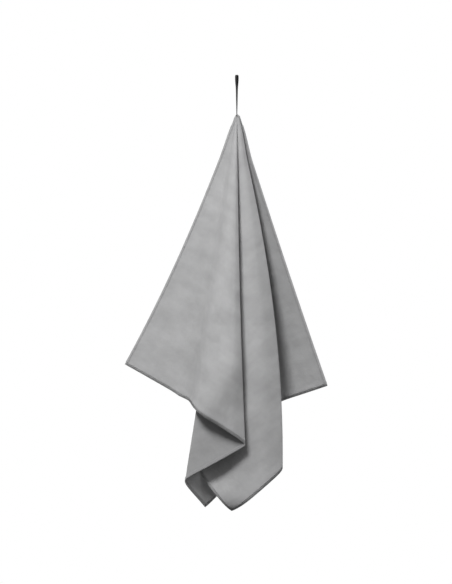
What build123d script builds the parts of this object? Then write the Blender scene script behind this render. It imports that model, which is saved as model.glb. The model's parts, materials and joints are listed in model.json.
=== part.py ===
from build123d import *
from math import atan2, cos, degrees, hypot, radians, sin, tan
import os

os.makedirs("parts", exist_ok=True)

# A quick dry towel: a thin rectangle of cloth with turned, sewn edges, hung by a ribbon loop that is
# sewn to the middle of one long edge. X is to the right, Y away from the front, Z up. The origin is the
# top of the loop's eye, where it rests on a hook. All sizes are in millimetres, angles in degrees.

# --- driving dimensions ---
towel_width = 1400.0      # the long edges
towel_height = 700.0      # the short edges
cloth_thickness = 0.6
hem_width = 6.0           # the turned edge
seam_inset = 4.6          # the line of stitches, from the cloth's edge
thread_width = 0.5
thread_height = 0.2       # how far the thread stands proud
ribbon_width = 5.5
ribbon_thickness = 1.1
loop_length = 93.0        # from the hook to the seam
eye_height = 30.0         # the open part of the loop, outside
eye_width = 8.4           # outside
neck_drop = 16.0          # the stretch over which its two sides come together
neck_gap = 0.4            # between them where they meet
tail_length = 16.0        # ribbon caught inside the gathered edge
bend_above = 0.6          # free ribbon above the line it bends on
bend_below = 2.2          # and below it
tack_height = 2.0         # the bar of close stitches through the ribbon and the gathered edge
tack_width = 4.5
tack_drop = 8.0           # below the bend
tack_proud = 0.3
strip_gap = 0.3           # between the stretches of a turned edge at a fold
gather_length = 45.0      # down to here the layers are pinched into one bundle
gather_start = 3.2        # the bundle's top, below the bend
gather_top_side = 2.0     # its half sizes there
gather_top_depth = 3.6
gather_side_spread = 17.0
gather_depth_spread = 13.0
gather_side_offset = -2.0
gather_depth_offset = 4.0

# The cloth hangs from one point, so its folds are straight lines through that point. Each fold is named,
# with its angle from straight down seen from the front, to the right, and its angle away from the front.
# The angles between neighbours add up to 180, because the seam is in the middle of a straight edge.
FOLDS = [
    ("left_edge", -23.7, 6.0),
    ("left_curl", -12.0, 1.5),
    ("step_back", -9.3, 0.0),
    ("step_middle", -8.1, -4.6),
    ("step_front", -6.15, -7.9),
    ("front_fold", 1.3, -6.6),
    ("under_fold", -7.9, -4.2),
    ("left_corner", -4.55, -1.8),
    ("inner_right", 5.5, 5.2),
    ("back_pleat", 7.0, 24.65),
    ("side_pleat", 12.0, 8.0),
    ("inner_left", -7.2, -4.0),
    ("inner_front", 0.5, -5.6),
    ("tube_left", -6.0, -3.75),
    ("right_corner", -1.15, -4.0),
    ("tube_middle", 3.0, -4.6),
    ("tube_right", 7.2, -2.0),
    ("flap_inside", -3.5, -2.9),
    ("flap_root", 8.8, 2.5),
    ("right_edge", 18.2, -2.0),
]

half_width = towel_width / 2
reach_limit = hypot(half_width, towel_height) * 1.2     # past every corner of the cloth
seam_z = -loop_length
seam = Vector(0, 0, seam_z)
hem_depth = 2 * cloth_thickness        # two turned layers behind the edge


def direction(side_angle, back_angle):
    a = radians(side_angle)
    b = radians(back_angle)
    return Vector(sin(a) * cos(b), sin(b), -cos(a) * cos(b))


directions = [direction(side, back) for _, side, back in FOLDS]
panel_angles = [u.get_angle(v) for u, v in zip(directions, directions[1:])]
panel_starts = [sum(panel_angles[:i]) for i in range(len(panel_angles))]
print("panels:", len(panel_angles), "angles add up to", round(sum(panel_angles), 2))


def panel_plane(i):
    """The plane of one panel: local X runs down its first fold, local Y towards its second."""
    return Plane(origin=seam, x_dir=directions[i], z_dir=directions[i].cross(directions[i + 1]))


def fold_opening(i):
    """How far the two panels at fold i stand apart, and whether the hem side is inside the fold."""
    if i == 0 or i == len(directions) - 1:
        return 180.0, False
    d = directions[i]
    before = directions[i - 1] - d * d.dot(directions[i - 1])
    after = directions[i + 1] - d * d.dot(directions[i + 1])
    hem_inside = d.dot(before.cross(after)) > 0
    return before.get_angle(after), hem_inside


def trim_angle(i, height, hem_side):
    """The angle by which a strip on the cloth stops short of fold i, more where it is inside the fold."""
    opening, hem_inside = fold_opening(i)
    room = strip_gap
    if hem_inside == hem_side:
        room += (cloth_thickness / 2 + height) / tan(radians(opening / 2))
    return degrees(room / towel_height)


def fan(i, start_radius, trim_first=0.0, trim_last=0.0):
    """The corners of the slice of panel i between its two folds, in the panel's plane."""
    first = radians(trim_first)
    last = radians(panel_angles[i] - trim_last)
    return [
        (start_radius * cos(first), start_radius * sin(first)),
        (reach_limit * cos(first), reach_limit * sin(first)),
        (reach_limit * cos(last), reach_limit * sin(last)),
        (start_radius * cos(last), start_radius * sin(last)),
    ]


def on_panel(i, across, down):
    """A place on the flat towel, across from the seam and down, in the plane of panel i."""
    turn = radians(panel_starts[i])
    return (across * cos(turn) + down * sin(turn), down * cos(turn) - across * sin(turn))


def edge_length(material_angle):
    """The distance from the seam to the cloth's edge in one direction of the flat towel."""
    a = radians(material_angle)
    to_side = half_width / max(abs(cos(a)), 1e-9)
    to_bottom = towel_height / max(sin(a), 1e-9)
    return min(to_side, to_bottom)


# Where each turned edge lies on the flat towel: middle across, middle down, size across, size down.
def edge_strip(name, inset, width):
    side_x = half_width - inset
    long_side = towel_width - 2 * hem_width
    return {
        "left": (side_x, towel_height / 2, width, towel_height),
        "right": (-side_x, towel_height / 2, width, towel_height),
        "top": (0, inset, long_side, width),
        "bottom": (0, towel_height - inset, long_side, width),
    }[name]


# --- the cloth: one thin sheet, folded along the straight folds, pinched together at the seam ---
bundle_top = Plane.XY.offset(seam_z - gather_start)
bundle_foot = Plane.XY.offset(seam_z - gather_length)
tack_plane = Plane.XY.offset(seam_z - tack_drop)
tack_share = (tack_drop - gather_start) / (gather_length - gather_start)
tack_half = gather_top_side + (gather_side_spread - gather_top_side) * tack_share + tack_proud
tack_middle = gather_side_offset * tack_share

with BuildPart() as towel_cloth:
    with BuildSketch(bundle_top):
        Ellipse(gather_top_side, gather_top_depth)
    with BuildSketch(bundle_foot):
        with Locations((gather_side_offset, gather_depth_offset)):
            Ellipse(gather_side_spread, gather_depth_spread)
    loft()
    for i in range(len(panel_angles)):
        with BuildSketch(panel_plane(i)):
            with BuildLine():
                Polyline(*fan(i, gather_length * 0.9), close=True)
            make_face()
            with Locations(on_panel(i, 0, towel_height / 2)):
                Rectangle(towel_width, towel_height, rotation=-panel_starts[i], mode=Mode.INTERSECT)
        extrude(amount=cloth_thickness / 2, both=True)
    for i in range(1, len(directions) - 1):
        with BuildSketch(Plane(origin=seam + directions[i] * gather_length, z_dir=directions[i])):
            Circle(cloth_thickness / 2)
        extrude(amount=edge_length(panel_starts[i]) - gather_length)
    # the slots that hold the ends of the ribbon and the tack
    with BuildSketch(Plane.XY.offset(seam_z)):
        Rectangle(2 * ribbon_thickness, ribbon_width)
    extrude(amount=-(bend_below + tail_length), mode=Mode.SUBTRACT)
    with BuildSketch(tack_plane):
        with Locations((tack_middle, 0)):
            Rectangle(2 * tack_half, tack_width)
    extrude(amount=tack_height / 2, both=True, mode=Mode.SUBTRACT)

# --- the ribbon's two ends, one on the other, caught inside the gathered edge ---
with BuildPart() as loop_tail:
    with BuildSketch(Plane.XY.offset(seam_z - bend_below)):
        Rectangle(2 * ribbon_thickness, ribbon_width)
    extrude(amount=-tail_length)
    with BuildSketch(tack_plane):
        Rectangle(4 * ribbon_thickness, tack_width)
    extrude(amount=tack_height / 2, both=True, mode=Mode.SUBTRACT)

# --- the tack: a bar of close stitches right through the bundle and the ribbon ---
with BuildPart() as loop_tack:
    with BuildSketch(tack_plane):
        with Locations((tack_middle, 0)):
            Rectangle(2 * tack_half, tack_width)
    extrude(amount=tack_height / 2, both=True)


def strip_meets(name, i):
    """Whether panel i reaches the edge of this name."""
    corner = degrees(atan2(towel_height, half_width))
    first = panel_starts[i]
    last = first + panel_angles[i]
    slack = 0.5
    return {
        "left": first < corner - slack,
        "right": last > 180 - corner + slack,
        "top": i == 0 or i == len(panel_angles) - 1,
        "bottom": last > corner + slack and first < 180 - corner - slack,
    }[name]


def lay_strips(name, inset, width, height, under, hem_side):
    """Lay flat strips on one side of the cloth, one on each panel that the edge crosses."""
    side = -1 if hem_side else 1
    across, down, size_across, size_down = edge_strip(name, inset, width)
    for i in range(len(panel_angles)):
        if strip_meets(name, i):
            trim_first = trim_angle(i, under + height, hem_side)
            trim_last = trim_angle(i + 1, under + height, hem_side)
            if i == 0:
                trim_first = 0.0
            if i == len(panel_angles) - 1:
                trim_last = 0.0
            with BuildSketch(panel_plane(i).offset(side * (cloth_thickness / 2 + under))) as strip:
                with BuildLine():
                    Polyline(*fan(i, gather_length * 1.1, trim_first, trim_last), close=True)
                make_face()
                with Locations(on_panel(i, across, down)):
                    Rectangle(size_across, size_down, rotation=-panel_starts[i], mode=Mode.INTERSECT)
            extrude(strip.sketch, amount=side * height)


# --- the turned edges: two more layers behind the cloth along each of its four edges ---
hems = {}
for name in ("left", "right", "top", "bottom"):
    with BuildPart() as hem:
        lay_strips(name, hem_width / 2, hem_width, hem_depth, 0.0, True)
    hems[name] = hem.part

# --- the stitches of each turned edge, on its face and behind it ---
seams = {}
for name in ("left", "right", "top", "bottom"):
    with BuildPart() as thread:
        lay_strips(name, seam_inset, thread_width, thread_height, 0.0, False)
        lay_strips(name, seam_inset, thread_width, thread_height, hem_depth, True)
    seams[name] = thread.part

# --- the hanging loop: one ribbon, doubled, open at the top for the hook ---
eye_top = ribbon_thickness
eye_foot = eye_top - eye_height
sides_meet = eye_foot + neck_drop


def eye_outline(half_width_above, half_width_below):
    """The upper end of the loop, seen along its width: two sides, an arc on top, drawn in at the foot."""
    arc_base = eye_top - eye_width / 2
    Line((half_width_above, sides_meet), (half_width_above, arc_base))
    RadiusArc((half_width_above, arc_base), (-half_width_above, arc_base), -half_width_above)
    Line((-half_width_above, arc_base), (-half_width_above, sides_meet))
    for side in (1, -1):
        Spline(
            (side * half_width_below, eye_foot),
            (side * half_width_above, sides_meet),
            tangents=[(0, 1), (0, 1)],
        )


with BuildPart() as hanging_loop:
    with BuildSketch(Plane.XZ):
        with BuildLine():
            eye_outline(eye_width / 2, ribbon_thickness)
            Polyline(
                (-ribbon_thickness, eye_foot),
                (-ribbon_thickness, seam_z + bend_above),
                (ribbon_thickness, seam_z + bend_above),
                (ribbon_thickness, eye_foot),
            )
        make_face()
    extrude(amount=ribbon_width / 2, both=True)
    with BuildSketch(Plane.XZ):
        with BuildLine():
            eye_outline(eye_width / 2 - ribbon_thickness, neck_gap / 2)
            Line((-neck_gap / 2, eye_foot), (neck_gap / 2, eye_foot))
        make_face()
    extrude(amount=ribbon_width / 2, both=True, mode=Mode.SUBTRACT)

pieces = {
    "hanging_loop": hanging_loop.part,
    "loop_tail": loop_tail.part,
    "loop_tack": loop_tack.part,
    "towel_cloth": towel_cloth.part,
}
for name, solid in hems.items():
    pieces["hem_" + name] = solid
for name, solid in seams.items():
    pieces["stitching_" + name] = solid
for name, solid in pieces.items():
    solid.label = name
    export_step(solid, f"parts/{name}.step")
    print(name, "solids", len(solid.solids()), "volume", round(solid.volume, 1))
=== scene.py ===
# %% [markdown]
# # A quick dry towel on its loop
# The towel is one thin rectangle of suede microfibre. A short black ribbon, doubled into a loop, is sewn to
# the middle of one long edge, and the whole towel hangs from it. This lesson folds the flat sheet by the
# rule that hanging cloth obeys, and then adds the turned edges, the stitches and the ribbon. A cloth
# simulation could hang the sheet too, but its folds would fall by chance. The rule puts every fold where
# the real towel has it, and keeps the cloth its true size.

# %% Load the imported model
import json
import math
from functools import partialmethod

import bmesh
import bpy
import numpy as np
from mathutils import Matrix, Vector


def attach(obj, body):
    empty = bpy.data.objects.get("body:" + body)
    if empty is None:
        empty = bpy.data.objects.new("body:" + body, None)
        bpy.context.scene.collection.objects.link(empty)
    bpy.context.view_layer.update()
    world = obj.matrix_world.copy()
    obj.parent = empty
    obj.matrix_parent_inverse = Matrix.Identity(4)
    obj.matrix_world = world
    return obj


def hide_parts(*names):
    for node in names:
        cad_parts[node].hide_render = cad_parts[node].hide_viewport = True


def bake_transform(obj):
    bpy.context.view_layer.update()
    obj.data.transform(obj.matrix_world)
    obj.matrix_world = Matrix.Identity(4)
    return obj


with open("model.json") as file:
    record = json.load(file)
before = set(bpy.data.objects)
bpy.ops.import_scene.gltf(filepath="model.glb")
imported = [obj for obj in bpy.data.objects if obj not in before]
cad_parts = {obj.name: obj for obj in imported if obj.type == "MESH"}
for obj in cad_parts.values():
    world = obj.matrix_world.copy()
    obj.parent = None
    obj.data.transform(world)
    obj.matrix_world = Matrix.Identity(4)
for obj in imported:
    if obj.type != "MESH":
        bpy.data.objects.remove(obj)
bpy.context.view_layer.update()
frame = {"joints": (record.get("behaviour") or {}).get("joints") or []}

# %% [markdown]
# The sizes come first. The seam, where the ribbon bends and the cloth is pinched, is the place of the one
# joint. The flat towel is 1.4 m by 0.7 m, the size it was cut to before it was hung.

# %% Sizes of the towel, in metres
seam = Vector(frame["joints"][0]["pos_m"])
width, height = 1.4, 0.7
left_half, right_half = 0.6875, 0.7125    # the ribbon is sewn a little off the middle
cloth_thickness = 0.0006
hem_width = 0.006
stitch_inset = 0.0046
gather_drop = 0.0026      # the pinched cloth starts this far below the bend of the ribbon
apex = seam - Vector((0, 0, gather_drop))
print("seam at", tuple(seam), "and the cloth starts at", tuple(apex))

# %% [markdown]
# Cloth that hangs from one point folds along straight lines through that point, because a flat sheet can
# bend only one way at a time. So each fold is a direction: how far it leans right, and how far it leans
# back, in degrees. The lean changes a little from the seam down to the hem, which curves the folds.
# The third number says how round the fold is, in degrees of cloth. Cloth pulled slantwise across its
# threads gives a little under its own weight, and the last number is that stretch.

# %% The folds, from the left edge round to the right edge
# name: (right, back, roundness) at the hem, (right, back, roundness) near the seam, and the stretch
FOLDS = {
    "left_edge": (-25.6, 4.6, 0.4, -21.2, 8.0, 0.4, 1.0),
    "left_curl": (-12.1, 1.5, 2.5, -9.0, 2.0, 2.5, 1.017),
    "step_back": (-9.7, -0.6, 1.2, -8.6, -2.4, 2.5, 1.008),
    "step_middle": (-8.7, -4.5, 1.0, -7.4, -6.8, 2.5, 1.012),
    "step_front": (-6.6, -5.6, 1.2, -5.0, -10.2, 2.5, 1.02),
    "front_roll": (-1.6, -7.4, 2.0, -1.6, -11.6, 2.0, 1.018),
    "front_fold": (1.95, -5.9, 0.5, 1.0, -9.4, 0.5, 1.014),
    "under_fold": (-8.5, -4.3, 0.6, -7.6, -1.6, 0.6, 1.0),
    "left_corner": (-4.5, -0.9, 0.8, -5.0, 0.2, 1.0, 1.0),
    "inner_right": (5.5, 5.2, 1.0, 7.5, 7.6, 1.0, 1.0),
    "back_pleat": (7.0, 25.6, 1.2, 8.0, 28.6, 1.2, 1.0),
    "side_pleat": (12.0, 8.0, 1.2, 12.5, 10.0, 1.2, 1.0),
    "inner_left": (-5.0, -1.8, 0.5, -4.2, -2.6, 0.5, 0.985),
    "inner_front": (0.8, -4.3, 0.4, -0.6, -7.0, 0.4, 0.99),
    "tube_left": (-6.2, -3.2, 0.6, -3.4, -3.6, 0.5, 0.98),
    "right_corner": (-0.8, -4.7, 1.2, 2.6, -5.9, 1.4, 1.0),
    "tube_middle": (3.3, -5.2, 1.6, 7.6, -7.3, 1.6, 1.008),
    "tube_right": (8.0, -3.4, 0.9, 13.2, -3.1, 0.6, 1.016),
    "flap_inside": (-3.6, -3.0, 0.8, 2.0, -1.6, 0.8, 1.0),
    "flap_root": (8.6, 2.5, 2.0, 9.6, 7.5, 2.0, 1.0),
    "right_edge": (18.6, -2.0, 0.4, 17.8, -2.0, 0.4, 1.0),
}


def direction(right, back):
    """A unit vector that hangs down, leaning right and back by these angles in degrees."""
    a, b = math.radians(right), math.radians(back)
    return np.array([math.sin(a) * math.cos(b), math.sin(b), -math.cos(a) * math.cos(b)])


def angles_between(directions):
    """The angle from each direction to the next, in degrees."""
    return np.degrees(np.arccos(np.clip((directions[1:] * directions[:-1]).sum(1), -1, 1)))


hem_folds = np.array([direction(*fold[:2]) for fold in FOLDS.values()])
seam_folds = np.array([direction(*fold[3:5]) for fold in FOLDS.values()])
panel_angles = angles_between(hem_folds)
print("cloth between folds at the hem adds up to", round(panel_angles.sum(), 2), "degrees")
print("and near the seam to", round(angles_between(seam_folds).sum(), 2))
corner_angles = (math.degrees(math.atan(height / left_half)),
                 180 - math.degrees(math.atan(height / right_half)))
KNOWN = {"left_edge": 0.0, "front_fold": 32.5, "under_fold": 41.8, "left_corner": corner_angles[0],
         "right_corner": corner_angles[1], "right_edge": 180.0}
arcs = np.concatenate([[0], np.cumsum(panel_angles)])
known_arcs = [arcs[list(FOLDS).index(name)] for name in KNOWN]
fold_angles = np.interp(arcs, known_arcs, list(KNOWN.values()))

# %% [markdown]
# A real fold has no sharp crease, so each row of directions is smoothed, more at a soft fold and less at a
# tight one. The result is two guides: one curve of directions for the hem and one for the cloth near the
# seam. The rays of the sheet are closer together where a fold is tight.

# %% Rays of the sheet and the two guides
RAYS = 432
RINGS = 86
FOLD_CROWDING = 1.6       # how many more rays a fold gets than flat cloth
FOLD_SPREAD = 1.6         # and over how much cloth, as a multiple of its roundness


def ray_angles():
    """Angles round the seam, in degrees from the left edge, closer together at tight folds."""
    fine = np.linspace(0, 180, 7201)
    crowding = np.full_like(fine, 1.0)
    for angle, fold in zip(fold_angles[1:-1], list(FOLDS.values())[1:-1]):
        off_fold = (fine - angle) / (FOLD_SPREAD * fold[2])
        crowding += FOLD_CROWDING / fold[2] ** 0.7 * np.exp(-(off_fold ** 2))
    share = np.concatenate([[0], np.cumsum((crowding[1:] + crowding[:-1]) / 2)])
    rays = np.interp(np.linspace(0, share[-1], RAYS), share, fine)
    for corner in corner_angles:
        rays[np.abs(rays - corner).argmin()] = corner
    return rays


def smooth_guide(folds, column):
    """One direction for each ray, smoothed over the roundness of the folds."""
    fine = np.linspace(-12, 192, 2041)
    roundness = np.interp(fine, fold_angles, [fold[column] for fold in FOLDS.values()])
    inside = np.clip(fine, 0, 180)
    k = np.clip(np.searchsorted(fold_angles, inside, side="right") - 1, 0, len(folds) - 2)
    share = (inside - fold_angles[k]) / (fold_angles[k + 1] - fold_angles[k])
    share += (fine - inside) / (fold_angles[k + 1] - fold_angles[k])
    path = folds[k] * (1 - share[:, None]) + folds[k + 1] * share[:, None]
    path /= np.linalg.norm(path, axis=1)[:, None]
    off_ray = (fine[None, :] - rays[:, None]) / np.interp(rays, fine, roundness)[:, None]
    weights = np.exp(-0.5 * off_ray ** 2)
    guide = weights @ path
    return guide / np.linalg.norm(guide, axis=1)[:, None]


rays = ray_angles()
stretch = np.interp(rays, fold_angles, [fold[6] for fold in FOLDS.values()])
hem_guide = smooth_guide(hem_folds, 2) * stretch[:, None]
seam_guide = smooth_guide(seam_folds, 5)
print(RAYS, "rays; the closest are", round(np.diff(rays).min(), 3), "degrees apart")

# %% [markdown]
# The flat sheet is a mesh laid out in rays and rings round the seam, so that every fold has a row of
# vertices along it. Each vertex keeps its ray number and its distance from the seam, and the UV map is the
# flat cloth in metres, so that the weave follows the cloth and not the room.

# %% The flat sheet
RING_CROWDING = 1.12      # the rings are a little closer near the seam
RIGHT_SIDE_START, RIGHT_SIDE_BLEND = 110, 15    # in degrees round the seam from the left edge
angles = np.radians(rays)


def reach_to_edge(cosine, sine):
    """How far the cloth goes from the seam in this direction of the flat sheet."""
    side = np.where(cosine > 0, left_half, right_half)
    return np.minimum(side / np.maximum(np.abs(cosine), 1e-9), height / np.maximum(sine, 1e-9))


reach_of_ray = reach_to_edge(np.cos(angles), np.sin(angles))
ring_share = np.linspace(0, 1, RINGS + 1)[1:] ** RING_CROWDING


def mesh_object(name, points, faces, edges=()):
    """A new mesh object at the origin, from lists of points and faces."""
    mesh = bpy.data.meshes.new(name)
    mesh.from_pydata([tuple(p) for p in points], list(edges), [tuple(f) for f in faces])
    mesh.update()
    made = bpy.data.objects.new(name, mesh)
    bpy.context.scene.collection.objects.link(made)
    return made


def number_attribute(mesh, name, kind, values):
    """Stores one value on each point of a mesh."""
    attribute = mesh.attributes.new(name, kind, "POINT")
    attribute.data.foreach_set("vector" if kind == "FLOAT_VECTOR" else "value", np.ravel(values))


def flat_map(piece, point_map):
    """A UV map named Flat, from a place on the flat cloth for each point of the piece."""
    corners = np.empty(len(piece.data.loops), np.int32)
    piece.data.loops.foreach_get("vertex_index", corners)
    layer = piece.data.uv_layers.new(name="Flat")
    layer.data.foreach_set("uv", point_map[corners].astype(np.float32).ravel())


def shade_smooth(piece):
    piece.data.polygons.foreach_set("use_smooth", [True] * len(piece.data.polygons))


reach = np.concatenate([[0], (ring_share[:, None] * reach_of_ray[None, :]).ravel()])
ray_number = np.concatenate([[0], np.tile(np.arange(RAYS), RINGS)])
flat_x = -reach * np.cos(angles[ray_number])
flat_y = -reach * np.sin(angles[ray_number])
point_at = 1 + np.arange(RINGS * RAYS).reshape(RINGS, RAYS)
quads = np.stack([point_at[:-1, :-1], point_at[1:, :-1], point_at[1:, 1:], point_at[:-1, 1:]], -1)
top_fan = [(0, point_at[0, j], point_at[0, j + 1]) for j in range(RAYS - 1)]
towel = mesh_object("towel", np.stack([flat_x, flat_y, 0 * reach], 1),
                    quads.reshape(-1, 4).tolist() + top_fan)
number_attribute(towel.data, "ray", "INT", ray_number.astype(np.int32))
number_attribute(towel.data, "reach", "FLOAT", reach.astype(np.float32))
right_side = np.clip((rays[ray_number] - RIGHT_SIDE_START) / RIGHT_SIDE_BLEND, 0, 1)
number_attribute(towel.data, "right_side", "FLOAT", right_side.astype(np.float32))
flat_map(towel, np.stack([flat_x + left_half, flat_y + height], 1))
print("the flat sheet has", len(towel.data.vertices), "points")

# %% [markdown]
# Geometry Nodes drape the sheet. The tree looks up a direction for each ray in the two guides, mixes them
# by the distance from the seam, and moves each vertex that far along it. A small helper writes the nodes,
# so that a long formula stays readable. The shaders use it later too.


# %% A helper that writes nodes
class Nodes:
    """Writes the nodes of one tree, one at a time."""

    def __init__(self, tree):
        self.tree = tree

    def add(self, kind, inputs=None, **settings):
        """Adds a node, sets it up and links or fills its inputs. Returns the node."""
        node = self.tree.nodes.new(kind)
        for setting, value in settings.items():
            setattr(node, setting, value)
        for key, value in (inputs or {}).items():
            self.fill(node.inputs[key], value)
        return node

    def fill(self, socket, value):
        """Links a socket to another node's output, or sets it to a plain value."""
        if isinstance(value, bpy.types.NodeSocket):
            self.tree.links.new(value, socket)
        else:
            socket.default_value = value

    def math(self, operation, *values):
        return self.add("ShaderNodeMath", dict(enumerate(values)), operation=operation).outputs[0]

    plus = partialmethod(math, "ADD")
    minus = partialmethod(math, "SUBTRACT")
    times = partialmethod(math, "MULTIPLY")
    over = partialmethod(math, "DIVIDE")

    def vector(self, operation, *values, scale=None):
        node = self.add("ShaderNodeVectorMath", dict(enumerate(values)), operation=operation)
        if scale is not None:
            self.fill(node.inputs["Scale"], scale)
        return node.outputs["Value" if operation == "DOT_PRODUCT" else "Vector"]

    def noise(self, vector, scale, detail=2.0, roughness=0.5):
        return self.add("ShaderNodeTexNoise", {"Vector": vector, "Scale": scale, "Detail": detail,
                                               "Roughness": roughness}).outputs["Fac"]

    def ramp(self, value, start, end, low, high, smooth=True):
        """A value that goes from low to high as the first one goes from start to end."""
        node = self.add("ShaderNodeMapRange", {"Value": value, "From Min": start, "From Max": end,
                                               "To Min": low, "To Max": high})
        node.interpolation_type = "SMOOTHSTEP" if smooth else "LINEAR"
        return node.outputs[0]


def new_sockets(tree, inputs, outputs):
    """Gives a group its inputs, each with a value or only a kind, and its outputs. Returns the input ids."""
    identifiers = {}
    for label, value in inputs.items():
        kind = "Float" if isinstance(value, float) else value
        if isinstance(value, tuple):
            kind = "Vector" if len(value) == 3 else "Color"
        item = tree.interface.new_socket(label, in_out="INPUT", socket_type="NodeSocket" + kind)
        if kind != value:
            item.default_value = value
        identifiers[label] = item.identifier
    for label, kind in outputs.items():
        tree.interface.new_socket(label, in_out="OUTPUT", socket_type="NodeSocket" + kind)
    return identifiers


print("one helper writes both kinds of nodes")

# %% [markdown]
# A Geometry Nodes tree runs as a modifier, and the result has to become a plain mesh. This helper does both.
# A modifier knows its inputs by their identifiers and not by their names, so the tree keeps a list of them.


# %% A helper for Geometry Nodes
class Tree(Nodes):
    """A Geometry Nodes tree that takes one geometry and gives one back."""

    def __init__(self, name, inputs):
        super().__init__(bpy.data.node_groups.new(name, "GeometryNodeTree"))
        self.identifiers = new_sockets(self.tree, {"Geometry": "Geometry", **inputs}, {"Geometry": "Geometry"})
        self.given = self.tree.nodes.new("NodeGroupInput").outputs
        self.result = self.tree.nodes.new("NodeGroupOutput").inputs

    def attribute(self, name, kind):
        return self.add("GeometryNodeInputNamedAttribute", {"Name": name}, data_type=kind).outputs[0]

    def apply(self, piece, **values):
        """Runs the tree on a piece and turns the result into a plain mesh."""
        modifier = piece.modifiers.new(self.tree.name, "NODES")
        modifier.node_group = self.tree
        for label, value in values.items():
            modifier[self.identifiers[label.replace("_", " ")]] = value
        plain_mesh(piece)


def plain_mesh(piece):
    """Makes what a piece's modifiers give its own mesh, and removes them."""
    graph = bpy.context.evaluated_depsgraph_get()
    mesh = bpy.data.meshes.new_from_object(piece.evaluated_get(graph))
    piece.modifiers.clear()
    piece.data = mesh


print("a tree is applied with its inputs by name")

# %% [markdown]
# The drape tree has a named input for each size that shapes it. First it finds the direction of each vertex
# in both guides, and mixes the two: near the seam one counts, and at the hem the other.

# %% The drape tree: a direction for each vertex
drape = Tree("Drape from a seam", {
    "Hem Guide": "Object", "Seam Guide": "Object", "Apex": (0, 0, 0),
    "Curve Start": 0.1, "Curve End": 0.88, "Curve Power": 1.4,
    "Swell": 0.018, "Swell Rise": 0.006, "Swell Start": 0.03, "Swell End": 0.13, "Left Swell": 0.4,
    "Curl Start": 0.944, "Curl Radius": 0.052,
    "Ripple": 0.0028, "Ripple Size": 0.075, "Ripple Start": 0.12, "Ripple End": 0.4,
    "Ridge Height": 0.018, "Ridge Width": 0.05, "Ridge Slope": 0.137, "Ridge Drop": 0.3757,
    "Ridge Start": -0.44, "Ridge End": -0.62,
    "Hollow Place": (0.608, -0.65, 0), "Hollow Depth": 0.026, "Hollow Radius": 0.078})
given = drape.given
distance = drape.attribute("reach", "FLOAT")
ray = drape.attribute("ray", "INT")
right_half_of_cloth = drape.attribute("right_side", "FLOAT")
looked_up = []
for label in ("Hem Guide", "Seam Guide"):
    guide = drape.add("GeometryNodeObjectInfo", {"Object": given[label]})
    sampled = drape.add("GeometryNodeSampleIndex", {
        "Geometry": guide.outputs["Geometry"], "Index": ray,
        "Value": drape.add("GeometryNodeInputPosition").outputs[0]}, data_type="FLOAT_VECTOR")
    looked_up.append(sampled.outputs[0])
share = drape.ramp(distance, given["Curve Start"], given["Curve End"], 0.0, 1.0, smooth=False)
share = drape.math("POWER", share, given["Curve Power"])
mixed = drape.add("ShaderNodeMix", {0: share, 4: looked_up[1], 5: looked_up[0]}, data_type="VECTOR")
leaning = mixed.outputs[1]
print("the drape tree has", len(given) - 2, "inputs beside the sheet itself")

# %% [markdown]
# Near the seam the many layers are thick. The swell pushes them outwards there, more on the right, where
# more of them lie on each other, and the cloth starts as a small dome. The front corner on the right hangs
# free and curls back: past the start of the curl it follows a circle, so it keeps its length.

# %% The drape tree: swell and curl
rise = drape.ramp(distance, 0.0, given["Swell Rise"], 0.0, 1.0)
fade = drape.ramp(distance, given["Swell Start"], given["Swell End"], 1.0, 0.0)
swell = drape.times(drape.times(rise, fade), given["Swell"])
one_sided = drape.ramp(right_half_of_cloth, 0.0, 1.0, given["Left Swell"], 1.0, smooth=False)
swell = drape.times(swell, one_sided)
sideways = drape.vector("MULTIPLY", leaning, (1, 1, 0))
beyond = drape.math("MAXIMUM", drape.minus(distance, given["Curl Start"]), 0.0)
beyond = drape.times(beyond, right_half_of_cloth)
bend = drape.over(beyond, given["Curl Radius"])
lost = drape.minus(beyond, drape.times(drape.math("SINE", bend), given["Curl Radius"]))
inward = drape.times(drape.minus(1.0, drape.math("COSINE", bend)), given["Curl Radius"])
distance = drape.minus(distance, lost)
curled = drape.add("ShaderNodeCombineXYZ", {"Y": inward}).outputs[0]
place = drape.vector("ADD", drape.vector("SCALE", leaning, scale=distance),
                     drape.vector("SCALE", sideways, scale=swell))
place = drape.vector("ADD", drape.vector("ADD", place, curled), given["Apex"])
print("the drape tree now has", len(drape.tree.nodes), "nodes")

# %% [markdown]
# Cloth is never quite even between its folds. A gentle ripple wanders over the whole sheet, from noise on
# the flat cloth. The front panel stands out in a soft ridge, and the panel below its hem is pressed into a
# shallow hollow. Both are bell curves of the place on the flat cloth, so nothing about them is sharp.

# %% The drape tree: ripple, ridge and hollow
RIPPLE_GRAIN = (1.0, 0.55, 1.0)      # the ripple is longer down the cloth than across it


def bell(amount):
    """1 where the amount is nothing, falling away smoothly to 0."""
    return drape.math("EXPONENT", drape.times(amount, -1.0))


flat_place = drape.add("GeometryNodeInputPosition").outputs[0]
ripple = drape.noise(drape.vector("MULTIPLY", flat_place, RIPPLE_GRAIN),
                     drape.over(1.0, given["Ripple Size"]), 1.5, 0.45)
ripple = drape.times(drape.minus(ripple, 0.5), given["Ripple"])
ripple_share = drape.ramp(distance, given["Ripple Start"], given["Ripple End"], 0.0, 1.0)
out_of_even = drape.times(ripple, ripple_share)
flat_xy = drape.add("ShaderNodeSeparateXYZ", {0: flat_place}).outputs
ridge_line = drape.math("MULTIPLY_ADD", flat_xy[0], given["Ridge Slope"], given["Ridge Drop"])
off_ridge = drape.over(drape.plus(ridge_line, flat_xy[1]), given["Ridge Width"])
ridge = bell(drape.math("POWER", off_ridge, 2.0))
ridge_share = drape.ramp(flat_xy[0], given["Ridge Start"], given["Ridge End"], 0.0, 1.0)
ridge = drape.times(ridge, ridge_share)
out_of_even = drape.minus(out_of_even, drape.times(ridge, given["Ridge Height"]))
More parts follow.
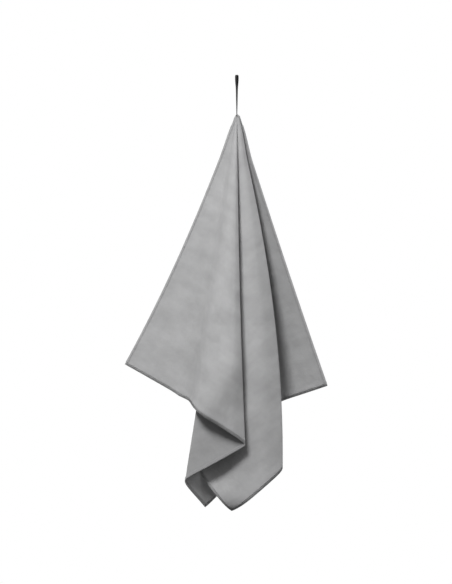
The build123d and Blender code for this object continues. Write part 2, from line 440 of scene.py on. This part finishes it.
off_hollow = drape.vector("SUBTRACT", flat_place, given["Hollow Place"])
hollow = bell(drape.over(drape.vector("DOT_PRODUCT", off_hollow, off_hollow),
                         drape.math("POWER", given["Hollow Radius"], 2.0)))
out_of_even = drape.plus(out_of_even, drape.times(hollow, given["Hollow Depth"]))
place = drape.vector("ADD", place, drape.add("ShaderNodeCombineXYZ", {"Y": out_of_even}).outputs[0])
moved = drape.add("GeometryNodeSetPosition", {"Geometry": given["Geometry"], "Position": place})
drape.fill(drape.result[0], moved.outputs[0])
print("the whole drape tree has", len(drape.tree.nodes), "nodes")

# %% [markdown]
# The tree reads the guides from two small helper objects, one vertex for each ray. They are needed only
# while the sheet is draped. The area of the draped sheet tells whether the cloth kept its size.

# %% Drape the sheet
guides = {"Hem_Guide": mesh_object("hem_guide", hem_guide, []),
          "Seam_Guide": mesh_object("seam_guide", seam_guide, [])}
drape.apply(towel, Apex=tuple(apex), **guides)
for guide in guides.values():
    bpy.data.objects.remove(guide)
points = np.array([v.co for v in towel.data.vertices])
area = sum(face.area for face in towel.data.polygons)
print("draped from", points.min(0).round(3), "to", points.max(0).round(3), "area", round(area, 3))

# %% [markdown]
# From here on the sheet's shape is fixed. The turned edges and stitches are laid out on the flat cloth, in
# metres, and this helper carries each flat point to its place on the draped cloth.

# %% From the flat cloth to the draped cloth
normals = np.array([v.normal for v in towel.data.vertices])
place_grid = np.concatenate([np.repeat(points[:1], RAYS, 0)[None], points[1:].reshape(RINGS, RAYS, 3)])
facing_grid = np.concatenate([normals[1:].reshape(RINGS, RAYS, 3)[:1], normals[1:].reshape(RINGS, RAYS, 3)])
ring_steps = np.concatenate([[0], ring_share])


def on_cloth(x, y, lift=0.0):
    """Points on the draped cloth for flat points x, y, lifted towards the face side."""
    x, y = np.broadcast_arrays(np.asarray(x, float), np.asarray(y, float))
    distance = np.hypot(x, y)
    angle = np.clip(np.degrees(np.arccos(np.clip(-x / distance, -1, 1))), 0, 180)
    across = np.interp(angle, rays, np.arange(RAYS))
    full = reach_to_edge(-x / distance, np.abs(y / distance))
    down = np.interp(distance / full, ring_steps, np.arange(RINGS + 1))
    i, j = np.minimum(down.astype(int), RINGS - 1), np.minimum(across.astype(int), RAYS - 2)
    s, t = (down - i)[..., None], (across - j)[..., None]

    def blend(grid):
        upper = grid[i, j] * (1 - t) + grid[i, j + 1] * t
        lower = grid[i + 1, j] * (1 - t) + grid[i + 1, j + 1] * t
        return upper * (1 - s) + lower * s

    facing = blend(facing_grid)
    facing /= np.linalg.norm(facing, axis=-1)[..., None]
    return blend(place_grid) + facing * np.asarray(lift)[..., None], facing


print("the left corner hangs at", on_cloth(-left_half, 0.0)[0].round(3))

# %% [markdown]
# Real cloth has two sides. A Solidify modifier gives the sheet its thickness, half to each side, and makes
# it a closed shell. The face side is brushed and the reverse is a little darker, so each vertex is told
# which side it is on, by checking whether it lies behind the middle of the cloth.

# %% Thickness of the cloth, and its two sides
towel.modifiers.new("Thickness", "SOLIDIFY").thickness = cloth_thickness
towel.modifiers["Thickness"].offset = 0
shade_smooth(towel)
plain_mesh(towel)
shell = np.array([v.co for v in towel.data.vertices])
layer_of = np.arange(len(shell)) % len(points)
behind = ((shell - points[layer_of]) * normals[layer_of]).sum(1) < 0
number_attribute(towel.data, "reverse", "FLOAT", behind.astype(np.float32))
print("towel has", sum(len(face.vertices) - 2 for face in towel.data.polygons), "triangles;",
      int(behind.sum()), "of", len(shell), "points are on the reverse")

# %% [markdown]
# Every edge of the towel is turned under to the reverse side and sewn down, so the cloth is three layers
# thick along a band 6 mm wide. Each turned edge is a strip of its own: a closed, slightly rounded section
# carried along the edge of the draped cloth. The section is written as pairs of numbers, how far in from
# the edge, and how far out from the face side.


# %% A piece swept from rings of points
def swept_piece(name, rings, point_map=None):
    """A closed piece from a row of rings of points, with a flat end at each end of the row."""
    count = rings.shape[1]
    index = np.arange(rings.shape[0] * count).reshape(-1, count)
    beside = np.roll(index, -1, axis=1)
    faces = np.stack([index[:-1], beside[:-1], beside[1:], index[1:]], -1).reshape(-1, 4).tolist()
    faces += [index[0].tolist()[::-1], index[-1].tolist()]
    piece = mesh_object(name, rings.reshape(-1, 3), faces)
    shade_smooth(piece)
    if point_map is not None:
        flat_map(piece, point_map)
    shell = bmesh.new()
    shell.from_mesh(piece.data)
    bmesh.ops.recalc_face_normals(shell, faces=shell.faces)     # outwards
    shell.to_mesh(piece.data)
    shell.free()
    return piece


print("one helper sweeps the turned edges, the stitch and the ribbon")

# %% [markdown]
# The five edges are listed by their ends on the flat cloth. A strip gets a ring wherever a ray of the cloth
# meets the edge, because the draped cloth is straight between its rays, and the strip has to bend with it.

# %% Turned edges
HEM_SECTION = [(-0.0002, 0.00042), (-0.0008, 0.0001), (-0.001, -0.0007), (-0.0004, -0.0014),
               (0.0012, -0.00165), (0.0045, -0.0015), (0.0057, -0.00125), (0.0061, -0.0007),
               (0.0056, -0.0003), (0.0012, -0.00025)]
GATHER_HALF = 0.03        # the top edge is caught in the gather this far from the seam
INNER_STEP = 0.002        # the way out of the cloth is measured over this much of it
EDGES = {
    # name: (start of the edge on the flat cloth, its end, the way in from the edge)
    "left": ((-left_half, 0), (-left_half, -height), (1, 0)),
    "bottom": ((-left_half + hem_width, -height), (right_half - hem_width, -height), (0, 1)),
    "right": ((right_half, -height), (right_half, 0), (-1, 0)),
    "top_left": ((-GATHER_HALF, 0), (-left_half + hem_width, 0), (0, -1)),
    "top_right": ((right_half - hem_width, 0), (GATHER_HALF, 0), (0, -1)),
}


def along_edge(start, end, spacing=0.004):
    """Flat points along an edge, with one wherever a ray of the cloth meets it."""
    start, end = np.array(start, float), np.array(end, float)
    length = np.linalg.norm(end - start)
    forward = (end - start) / length
    rims = np.stack([-reach_of_ray * np.cos(angles), -reach_of_ray * np.sin(angles)], 1) - start
    on_line = np.abs(rims @ np.array([-forward[1], forward[0]])) < 1e-6
    crossings = rims[on_line] @ forward
    steps = np.concatenate([crossings, np.arange(0, length, spacing), [length]])
    steps = np.unique(np.round(np.clip(steps, 0, length), 4))
    return start + steps[:, None] * forward, steps


def hem_strip(name, start, end, inward):
    """The strip of turned cloth along one edge, closed at its ends."""
    line, steps = along_edge(start, end)
    inward = np.array(inward, float)
    rows = []
    for inset, lift in HEM_SECTION:
        flat = line + inward * max(inset, 0.0)
        place, facing = on_cloth(flat[:, 0], flat[:, 1], np.full(len(flat), lift))
        if inset < 0:
            inner, _ = on_cloth(*(line + inward * INNER_STEP).T)
            rim, _ = on_cloth(line[:, 0], line[:, 1])
            outward = (rim - inner) / np.linalg.norm(rim - inner, axis=1)[:, None]
            place += outward * -inset
        rows.append(place)
    insets = np.array([inset for inset, _ in HEM_SECTION])
    point_map = np.stack([np.repeat(steps, len(insets)), np.tile(insets, len(steps))], 1)
    return swept_piece("turned_edge_" + name, np.stack(rows, 1), point_map)


hems = {name: hem_strip(name, *edge) for name, edge in EDGES.items()}
print("turned edges:", {name: len(hem.data.polygons) for name, hem in hems.items()})

# %% [markdown]
# One row of lock stitches holds each turned edge down, 4.6 mm in from the rim. On the real towel it is one
# long thread that dips through the cloth every 3 mm. Geometry Nodes lay one small stitch at each step of a
# path, turned along the thread and square to the cloth, on the face side and again on the reverse.

# %% The stitch tree
STITCH_PITCH = 0.003
STITCH_LENGTH = 0.86 * STITCH_PITCH
THREAD_HALF_WIDTH, THREAD_HALF_HEIGHT = 0.00024, 0.00016
THREAD_SIDES = 6
# how far along the stitch, how high over the cloth in metres, and how thick: the thread comes up and dives
STITCH_RINGS = ((-0.5, -0.00010, 0.4), (-0.38, 0.00012, 0.9), (0.0, 0.00020, 1.0),
                (0.38, 0.00012, 0.9), (0.5, -0.00010, 0.4))


def stitch_shape():
    """One stitch: a thread that comes up out of the cloth, runs along it and goes down again."""
    turns = 2 * math.pi * np.arange(THREAD_SIDES) / THREAD_SIDES
    rings = [np.stack([np.full(THREAD_SIDES, along * STITCH_LENGTH), THREAD_HALF_WIDTH * size * np.cos(turns),
                       up + THREAD_HALF_HEIGHT * size * np.sin(turns)], 1) for along, up, size in STITCH_RINGS]
    return swept_piece("one_stitch", np.stack(rings))


sewing = Tree("Sew along a path", {"Stitch": "Object", "Pitch": STITCH_PITCH, "Thread": "Material"})
given = sewing.given
line = sewing.add("GeometryNodeMeshToCurve", {"Mesh": given["Geometry"]})
steps = sewing.add("GeometryNodeResampleCurve", {"Curve": line.outputs[0], "Length": given["Pitch"]},
                   mode="LENGTH")
heading = sewing.add("GeometryNodeInputTangent").outputs[0]
along = sewing.add("FunctionNodeAlignRotationToVector", {"Vector": heading}, axis="X")
square = sewing.add("FunctionNodeAlignRotationToVector",
                    {"Rotation": along.outputs[0], "Vector": sewing.attribute("facing", "FLOAT_VECTOR")},
                    axis="Z", pivot_axis="X")
stitch = sewing.add("GeometryNodeObjectInfo", {"Object": given["Stitch"]})
placed = sewing.add("GeometryNodeInstanceOnPoints", {
    "Points": steps.outputs[0], "Instance": stitch.outputs["Geometry"], "Rotation": square.outputs[0]})
whole = sewing.add("GeometryNodeRealizeInstances", {"Geometry": placed.outputs[0]})
coloured = sewing.add("GeometryNodeSetMaterial", {"Geometry": whole.outputs[0], "Material": given["Thread"]})
sewing.fill(sewing.result[0], coloured.outputs[0])
print("one stitch covers", round(STITCH_LENGTH * 1000, 1), "mm of each", STITCH_PITCH * 1000, "mm step")

# %% [markdown]
# The needle thread shows on the face side and the bobbin thread on the reverse, so each edge has two rows.
# A row is a path of short straight edges on the draped cloth, and every point of it knows which way the
# cloth faces, so that the tree can lay the stitches flat.

# %% Paths for the stitches, on both sides of every edge
FACE_LIFT, REVERSE_LIFT = 0.0003, -0.0015       # the thread lies on the outermost layer of each side


def stitch_path(name, start, end, inward):
    """The path of a row of stitches on the face side and one on the reverse, as one mesh of edges."""
    line, _ = along_edge(start, end)
    flat = line + np.array(inward, float) * stitch_inset
    places, facings, links, first = [], [], [], 0
    for lift, side in ((FACE_LIFT, 1), (REVERSE_LIFT, -1)):
        place, facing = on_cloth(flat[:, 0], flat[:, 1], np.full(len(flat), lift))
        places.append(place)
        facings.append(facing * side)
        links += [(first + k, first + k + 1) for k in range(len(flat) - 1)]
        first += len(flat)
    path = mesh_object("stitch_row_" + name, np.concatenate(places), [], links)
    number_attribute(path.data, "facing", "FLOAT_VECTOR", np.concatenate(facings).astype(np.float32))
    return path


print("each path runs", stitch_inset * 1000, "mm in from its edge")

# %% [markdown]
# The cloth is split microfibre with a suede finish: a very fine knit with a soft, almost matt brushed
# surface, lighter where the nap lies one way and darker where it was stroked the other. Effects that several
# materials share are shader node groups. They read the flat map, so they follow the cloth through its folds.


# %% The nap group
def shader_group(name, inputs, outputs):
    """An empty shader node group with named inputs and outputs."""
    tree = bpy.data.node_groups.new(name, "ShaderNodeTree")
    new_sockets(tree, inputs, outputs)
    return Nodes(tree), tree.nodes.new("NodeGroupInput").outputs, tree.nodes.new("NodeGroupOutput").inputs


STREAK_GRAIN = (1.0, 0.22, 1.0)      # strokes of the nap run down the cloth
nap, given, result = shader_group("Brushed nap", {
    "Vector": (0, 0, 0), "Colour": (0.4, 0.4, 0.4, 1), "Patch Size": 0.05, "Patch Strength": 0.1,
    "Fibre Size": 0.0012, "Fibre Strength": 0.1}, {"Colour": "Color", "Height": "Float"})
patches = nap.noise(given["Vector"], nap.over(1.0, given["Patch Size"]), 4.0, 0.6)
streak = nap.noise(nap.vector("MULTIPLY", given["Vector"], STREAK_GRAIN),
                   nap.over(2.2, given["Patch Size"]), 3.0, 0.55)
fibres = nap.noise(given["Vector"], nap.over(1.0, given["Fibre Size"]), 2.0, 0.6)
mixed = nap.plus(nap.times(nap.minus(patches, 0.5), 1.1), nap.times(nap.minus(streak, 0.5), 0.9))
shade = nap.plus(nap.times(mixed, given["Patch Strength"]),
                 nap.times(nap.minus(fibres, 0.5), given["Fibre Strength"]))
nap.fill(result["Colour"], nap.vector("SCALE", given["Colour"], scale=nap.plus(shade, 1.0)))
nap.fill(result["Height"], nap.plus(nap.times(fibres, 0.6), nap.times(patches, 0.4)))
print("the nap group has", len(nap.tree.nodes), "nodes")

# %% [markdown]
# Threads that cross make a grid of small bumps. Two sine waves multiplied give such a grid, at the pitch of
# the thread, with no picture to load and no seam.

# %% The weave group
weave, given, result = shader_group("Fine weave", {"Vector": (0, 0, 0), "Thread Pitch": 0.0008},
                                    {"Height": "Float"})
parted = weave.add("ShaderNodeSeparateXYZ", {0: given["Vector"]}).outputs
turns = weave.over(2 * math.pi, given["Thread Pitch"])
across = weave.math("SINE", weave.times(parted[0], turns))
along = weave.math("SINE", weave.times(parted[1], turns))
product = weave.times(across, along)
weave.fill(result["Height"], weave.plus(weave.times(product, 0.5), 0.5))
print("the weave group has", len(weave.tree.nodes), "nodes")

# %% [markdown]
# Both groups go into each cloth material with its own values. The shader stays in the material. Cloth
# scatters light at its edges, which sheen gives, and has hardly any gloss, so the specular level is low.


# %% Helpers for the cloth materials
def place_group(finish, group, **values):
    node = finish.add("ShaderNodeGroup")
    node.node_tree = group.tree
    for label, value in values.items():
        finish.fill(node.inputs[label.replace("_", " ")], value)
    return node.outputs


def new_material(name, values):
    """A material whose plain values are set on the shader's own sockets, so that they are exported."""
    material = bpy.data.materials.new(name)
    material.use_nodes = True
    shader = material.node_tree.nodes["Principled BSDF"].inputs
    for socket, value in values.items():
        shader[socket].default_value = value
    return material, Nodes(material.node_tree), shader


def fabric_material(name, colour, roughness, sheen):
    return new_material(name, {"Base Color": (*colour, 1), "Roughness": roughness, "Sheen Weight": sheen,
                               "Sheen Roughness": 0.5, "Specular IOR Level": 0.2})


def bump(finish, shader, height, strength=1.0):
    """Lets a height in metres tilt the light on the surface."""
    relief = finish.add("ShaderNodeBump", {"Height": height, "Strength": strength, "Distance": 1.0})
    finish.fill(shader["Normal"], relief.outputs[0])


print("cloth materials share the groups", nap.tree.name, "and", weave.tree.name)

# %% [markdown]
# The suede is a neutral mid grey. A pressed line runs beside each turned edge, where three layers become
# one, and the stitches pull the cloth down into a shallow channel, with small puckers across it. The
# channel is painted darker as painted shade, and the band over the turned edge is a little darker. The whole
# sheet is a little crumpled, as cloth is that was folded in a bag. The pattern could be painted, but a rule
# on the flat map keeps its scale true at any distance.

# %% Suede microfibre
GREY = (0.36, 0.36, 0.363)
REVERSE_SHADE = 0.8       # the unbrushed side gives back this share of the face side's light
TURNED_SHADE = 0.8        # and so do the turned edges
# heights and widths in metres
NAP_HEIGHT, KNIT_HEIGHT, CRUMPLE_HEIGHT = 0.00022, 0.00005, 0.0026
BAND_RISE, CHANNEL_DEPTH, CHANNEL_HALF, PUCKER_HEIGHT = 0.0006, 0.0007, 0.0011, 0.0011
CRUMPLES_PER_METRE, PUCKERS_PER_METRE = 24.0, 160.0
PUCKER_ENDS = (0.004, 0.022)      # puckers fade out between these distances from the edge
# painted shade: the stitch channel is painted darker, where shade falls, and the band over the turned edge a
# little darker
CHANNEL_SHADE, BAND_SHADE = 0.2, 0.05


def edge_relief(finish, flat):
    """How much painted shade darkens the stitch channel, how much darker the band over the turned edge is, and
    how high the cloth is there, by the distance from the nearest edge.
    """
    parted = finish.add("ShaderNodeSeparateXYZ", {0: flat}).outputs
    nearest = [finish.math("MINIMUM", parted[k], finish.minus(size, parted[k]))
               for k, size in enumerate((width, height))]
    rim = finish.math("MINIMUM", *nearest)
    band = finish.ramp(rim, hem_width * 0.95, hem_width * 1.25, 1.0, 0.0)
    off_stitches = finish.math("ABSOLUTE", finish.minus(rim, stitch_inset))
    channel = finish.ramp(off_stitches, 0.0, CHANNEL_HALF, 1.0, 0.0)
    # painted shade in the stitch channel, and a darker band over the turned edge
    dark = finish.plus(finish.times(channel, CHANNEL_SHADE), finish.times(band, BAND_SHADE))
    relief = finish.minus(finish.times(band, BAND_RISE), finish.times(channel, CHANNEL_DEPTH))
    puckers = finish.times(finish.noise(flat, PUCKERS_PER_METRE, 1.0), finish.ramp(rim, *PUCKER_ENDS, 1.0, 0.0))
    relief = finish.plus(relief, finish.times(puckers, PUCKER_HEIGHT))
    return finish.minus(1.0, dark), relief


def suede_material(name, colour, edge_lines):
    material, finish, shader = fabric_material(name, colour, 0.92, 0.12)
    flat = finish.add("ShaderNodeUVMap", uv_map="Flat").outputs[0]
    soft = place_group(finish, nap, Vector=flat, Colour=(*colour, 1), Patch_Size=0.07, Patch_Strength=0.36,
                       Fibre_Size=0.0016, Fibre_Strength=0.12)
    knit = place_group(finish, weave, Vector=flat, Thread_Pitch=0.0009)
    shown_colour = soft["Colour"]
    relief = finish.plus(finish.times(soft["Height"], NAP_HEIGHT), finish.times(knit["Height"], KNIT_HEIGHT))
    crumple = finish.noise(flat, CRUMPLES_PER_METRE, 3.0, 0.5)
    relief = finish.plus(relief, finish.times(crumple, CRUMPLE_HEIGHT))
    if edge_lines:
        light, edges = edge_relief(finish, flat)
        # the painted shade of the stitch channel and the darker band are multiplied into the colour
        shown_colour = finish.vector("SCALE", shown_colour, scale=light)
        relief = finish.plus(relief, edges)
    reverse = finish.add("ShaderNodeAttribute", attribute_name="reverse").outputs["Fac"]
    side_shade = finish.minus(1.0, finish.times(reverse, 1.0 - REVERSE_SHADE))
    finish.fill(shader["Base Color"], finish.vector("SCALE", shown_colour, scale=side_shade))
    finish.fill(shader["Roughness"], finish.ramp(soft["Height"], 0.3, 0.7, 0.86, 0.96))
    bump(finish, shader, relief, 0.9)
    return material


suede = suede_material("suede_microfibre", GREY, True)
# the turned edges get a darker copy of the suede
hem_cloth = suede_material("turned_edge_cloth", tuple(c * TURNED_SHADE for c in GREY), False)
print("the suede has", len(suede.node_tree.nodes), "nodes beside those in its groups")

# %% [markdown]
# Sewing thread is two or three yarns twisted together, a little shinier than the cloth. At this size the
# twist is only a fine change of light, so noise on the object's own coordinates is enough.

# %% Thread
PLY_SIZE, PLY_HEIGHT = 0.0005, 0.0001


def thread_material(name, colour):
    """Twisted sewing thread, a little lighter on its raised turns."""
    material, finish, shader = fabric_material(name, colour, 0.6, 0.2)
    place = finish.add("ShaderNodeTexCoord").outputs["Object"]
    ply = finish.noise(place, 1 / PLY_SIZE)
    light = finish.ramp(ply, 0.3, 0.7, 0.75, 1.2)
    finish.fill(shader["Base Color"], finish.vector("SCALE", colour, scale=light))
    bump(finish, shader, finish.times(ply, PLY_HEIGHT))
    return material


grey_thread = thread_material("grey_thread", (0.27, 0.27, 0.275))
black_thread = thread_material("black_thread", (0.02, 0.02, 0.021))
print("threads:", grey_thread.name, "and", black_thread.name)

# %% [markdown]
# With the thread ready, the tree sews each row. The single stitch is only a pattern for the instances, so
# it is removed once all rows are plain meshes.

# %% Sew the edges
stitching = {}
one_stitch = stitch_shape()
for name, edge in EDGES.items():
    stitching[name] = stitch_path(name, *edge)
    sewing.apply(stitching[name], Stitch=one_stitch, Pitch=STITCH_PITCH, Thread=grey_thread)
bpy.data.objects.remove(one_stitch)
print("stitch rows:", {name: len(row.data.polygons) for name, row in stitching.items()})

# %% [markdown]
# The ribbon is a flat woven tape with fine cross ribs. Its black is a little lighter on top of the ribs,
# so the weave group's height mixes a lighter black into the nap group's colour.

# %% Woven ribbon
# a lighter black on top of the ribs
BLACK, RIB_TOP_BLACK = (0.014, 0.014, 0.0145), (0.034, 0.034, 0.036)
RIB_HEIGHT, RIB_TOP_SHARE = 0.00025, 0.55
webbing, finish, shader = fabric_material("woven_ribbon", BLACK, 0.7, 0.06)
flat = finish.add("ShaderNodeUVMap", uv_map="Flat").outputs[0]
ribs = place_group(finish, weave, Vector=flat, Thread_Pitch=0.0011)
soft = place_group(finish, nap, Vector=flat, Colour=(*BLACK, 1), Patch_Size=0.012, Patch_Strength=0.5,
                   Fibre_Size=0.0004, Fibre_Strength=0.5)
rib_top_mix = finish.add("ShaderNodeMix", {0: finish.times(ribs["Height"], RIB_TOP_SHARE), 6: soft["Colour"],
                                     7: (*RIB_TOP_BLACK, 1)}, data_type="RGBA")
finish.fill(shader["Base Color"], rib_top_mix.outputs[2])
bump(finish, shader, finish.times(ribs["Height"], RIB_HEIGHT))
print("the ribbon's material has", len(webbing.node_tree.nodes), "nodes beside those in its groups")

# %% [markdown]
# The ribbon is one strip of black woven tape. It goes up from the seam, round the hook and down again, and
# its two ends lie on each other inside the gathered edge. Its line could be a Blender curve, but a spline
# worked out here also gives its exact length, for the flat map.


# %% The line of the ribbon
def smooth_line(points, count):
    """A cubic B-spline through the neighbourhood of some control points, clamped at both ends."""
    control = np.array([points[0]] * 2 + points + [points[-1]] * 2, float)
    place = np.linspace(0, len(control) - 3 - 1e-9, count)
    k, t = place.astype(int), (place % 1)[:, None]
    basis = ((1 - t) ** 3, 3 * t ** 3 - 6 * t ** 2 + 4, -3 * t ** 3 + 3 * t ** 2 + 3 * t + 1, t ** 3)
    return sum(b * control[k + n] for n, b in enumerate(basis)) / 6


RIBBON_STEPS = 321
tail_end = seam.z - 0.0185
# (out from the middle, up) for one half of the ribbon, from its sewn-in end to the top of the eye
half_line = [(0.00054, tail_end), (0.00054, -0.097), (0.00052, -0.08), (0.00052, -0.06), (0.00054, -0.045),
             (0.0006, -0.035), (0.0011, -0.028), (0.0026, -0.02), (0.0038, -0.013), (0.0040, -0.006),
             (0.0038, -0.0012), (0.0024, 0.0009)]
whole_line = half_line + [(0.0, 0.00125)] + [(-x, z) for x, z in reversed(half_line)]
line = smooth_line(whole_line, RIBBON_STEPS)
run = np.concatenate([[0], np.cumsum(np.linalg.norm(np.diff(line, axis=0), axis=1))])
print("the ribbon is", round(float(run[-1]) * 1000), "mm long, end to end")

# %% [markdown]
# The section of the tape is nearly a rectangle, with soft corners. It is swept along the line, and twisted
# a little about the upright, more towards the top, because the towel turns on its hook.

# %% The ribbon
ribbon_width, ribbon_thickness = 0.0055, 0.0010
tangent = np.gradient(line, axis=0)
tangent /= np.linalg.norm(tangent, axis=1)[:, None]
outward = np.stack([tangent[:, 1], -tangent[:, 0]], 1)
SECTION_SIDES = 24
SIDE_POWER, FACE_POWER = 0.35, 0.6      # 1 would make an ellipse, and 0 a sharp rectangle
section = [(0.5 * ribbon_width * math.copysign(abs(math.cos(t)) ** SIDE_POWER, math.cos(t)),
            0.5 * ribbon_thickness * math.copysign(abs(math.sin(t)) ** FACE_POWER, math.sin(t)))
           for t in np.linspace(0, 2 * math.pi, SECTION_SIDES, endpoint=False)]
turn_height = [seam.z - 0.02, seam.z, -0.07, -0.031, -0.018, 0.002]
turn_angle = np.radians([0.0, 5.0, 22.0, 50.0, 58.0, 56.0])
rows, maps = [], []
for across, thick in section:
    x = line[:, 0] + outward[:, 0] * thick
    z = line[:, 1] + outward[:, 1] * thick
    turn = np.interp(z, turn_height, turn_angle)
    rows.append(np.stack([x * np.cos(turn) - across * np.sin(turn),
                          x * np.sin(turn) + across * np.cos(turn), z], 1))
    maps.append(np.stack([run, np.full(len(run), across)], 1))
ribbon = swept_piece("ribbon_loop", np.stack(rows, 1), np.stack(maps, 1).reshape(-1, 2))
ribbon.data.materials.append(webbing)
print("the ribbon has", len(ribbon.data.polygons), "faces")

# %% [markdown]
# A bar tack holds the ribbon in the gather: one thread that crosses the ribbon's two ends many times, close
# together. It is a single thread wound to and fro, so it is one tube along a zigzag.

# %% The tack
TACK_CROSSINGS, TACK_STEP, TACK_THREAD = 15, 0.00028, 0.00048
TACK_TOP, TACK_HALF = 0.0068, 0.0026        # below the seam, and half the width that the thread crosses
tack_points = []
for n in range(TACK_CROSSINGS):
    side = 1 if n % 2 else -1
    z = seam.z - TACK_TOP - TACK_STEP * n
    tack_points += [(side * 0.0013, -TACK_HALF * side, z), (side * 0.0015, TACK_HALF * side, z - TACK_STEP / 2)]
tack_curve = bpy.data.curves.new("bar_tack", "CURVE")
tack_curve.dimensions = "3D"
tack_curve.bevel_depth = TACK_THREAD / 2
tack_curve.bevel_resolution = 2
tack_curve.use_fill_caps = True
spline = tack_curve.splines.new("POLY")
spline.points.add(len(tack_points) - 1)
for point, place in zip(spline.points, tack_points):
    point.co = (*place, 1)
scene = bpy.context.scene
tack_line = bpy.data.objects.new("tack_line", tack_curve)
scene.collection.objects.link(tack_line)
graph = bpy.context.evaluated_depsgraph_get()
tack = bpy.data.objects.new("bar_tack", bpy.data.meshes.new_from_object(tack_line.evaluated_get(graph)))
scene.collection.objects.link(tack)
bpy.data.objects.remove(tack_line)
tack.data.materials.append(black_thread)
print("the tack crosses the ribbon", len(tack_points) // 2, "times")

# %% [markdown]
# The camera stands far off with a long lens, level with the middle of the towel, so upright folds stay
# upright. A long lens needs a large distance: 14 m for an object about a metre tall.

# %% Camera
CAMERA_LENS = 346.7
CAMERA_PLACE = (-0.027, -14.0, -0.539)
camera = bpy.data.objects.new("camera", bpy.data.cameras.new("camera"))
scene.collection.objects.link(camera)
camera.data.lens, camera.data.sensor_width = CAMERA_LENS, 36
camera.location = CAMERA_PLACE
camera.rotation_euler = (math.radians(90), 0, 0)
scene.camera = camera
scene.view_settings.view_transform = "Standard"
print("camera looks at the towel from", round(-camera.location.y), "m away")

# %% [markdown]
# The towel hangs clear above a plain pale floor. The floor is only a stage and never part of the object.
# It glows for the camera alone, which keeps it evenly pale without lighting the towel from below.

# %% Floor
FLOOR_DEPTH, FLOOR_RADIUS, FLOOR_SIDES = 1.7, 8.0, 96
FLOOR_GLOW = 0.8
rim_turns = [2 * math.pi * k / FLOOR_SIDES for k in range(FLOOR_SIDES)]
floor = mesh_object("floor", [(FLOOR_RADIUS * math.cos(t), FLOOR_RADIUS * math.sin(t), -FLOOR_DEPTH)
                              for t in rim_turns], [range(FLOOR_SIDES)])
pale, paint, shader = new_material("pale_floor", {
    "Base Color": (0.12, 0.12, 0.12, 1), "Roughness": 0.8, "Emission Color": (1, 1, 1, 1)})
seen = paint.add("ShaderNodeLightPath").outputs["Is Camera Ray"]
paint.fill(shader["Emission Strength"], paint.times(seen, FLOOR_GLOW))
floor.data.materials.append(pale)
print("the floor is", FLOOR_DEPTH, "m below the top of the loop")

# %% [markdown]
# Soft studio light: a large lamp high on the left is the key, a weak one on the right opens the shadows,
# and three lamps behind and beside keep the other sides readable. Grey cloth needs little contrast, so
# the edges of every shadow stay soft.

# %% Lamps
LAMPS = {
    # name: (its place, its width and height in metres, watts, spread in degrees)
    "key_light": ((-0.95, -2.4, 1.9), (1.2, 1.2), 14.9, 55),
    "fill_light": ((2.4, -2.4, 0.4), (1.4, 1.8), 1.3, 60),
    "back_light": ((0.9, 3.0, 0.9), (1.4, 1.4), 13, 50),
    "left_side_light": ((-3.0, 1.5, 0.5), (1.2, 1.4), 2, 50),
    "right_side_light": ((3.0, 1.5, 0.5), (1.2, 1.4), 2, 50),
}
MIDDLE = Vector((0, 0, -0.6))       # all lamps point at the middle of the towel
for name, (place, size, watts, spread) in LAMPS.items():
    lamp = bpy.data.lights.new(name, "AREA")
    lamp.shape, lamp.size, lamp.size_y, lamp.energy = "RECTANGLE", size[0], size[1], watts
    lamp.spread = math.radians(spread)
    stand = bpy.data.objects.new(name, lamp)
    stand.location = place
    stand.rotation_euler = (MIDDLE - Vector(place)).to_track_quat("-Z", "Y").to_euler()
    scene.collection.objects.link(stand)

# %% [markdown]
# The room shows white behind the towel, but gives only a faint even light, so that the lamps shape the
# folds. A Light Path node picks between the two.

# %% The room
SHOWN_WHITE, ROOM_LIGHT = 1.0, 0.34
world = bpy.data.worlds.new("studio")
scene.world = world
world.use_nodes = True
world.node_tree.nodes.clear()
sky = Nodes(world.node_tree)
shown, lighting = [sky.add("ShaderNodeBackground", {"Color": (1, 1, 1, 1), "Strength": strength}).outputs[0]
                   for strength in (SHOWN_WHITE, ROOM_LIGHT)]
seen = sky.add("ShaderNodeLightPath").outputs["Is Camera Ray"]
choice = sky.add("ShaderNodeMixShader", {0: seen, 1: lighting, 2: shown})
sky.add("ShaderNodeOutputWorld", {0: choice.outputs[0]})
print("the room gives", ROOM_LIGHT, "of the light it shows to the camera")

# %% [markdown]
# Each piece gets its material, and all but the ribbon ride on the towel's body. The ribbon bends at the seam;
# its place is baked into its mesh. The imported parts that these pieces replace are hidden.

# %% Hand over
towel.data.materials.append(suede)
for hem in hems.values():
    hem.data.materials.append(hem_cloth)
for piece in (towel, tack, *hems.values(), *stitching.values()):
    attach(piece, "towel")
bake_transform(ribbon)

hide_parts("towel_cloth")
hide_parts("hanging_loop", "loop_tail")
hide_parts("loop_tack")
for name in EDGES:
    packed_name = "top" if name.startswith("top") else name      # the pack has one top edge, not two halves
    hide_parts("hem_" + packed_name)
    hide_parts("stitching_" + packed_name)
print("declared:", width, "by", height, "m of cloth, hung from the ribbon")
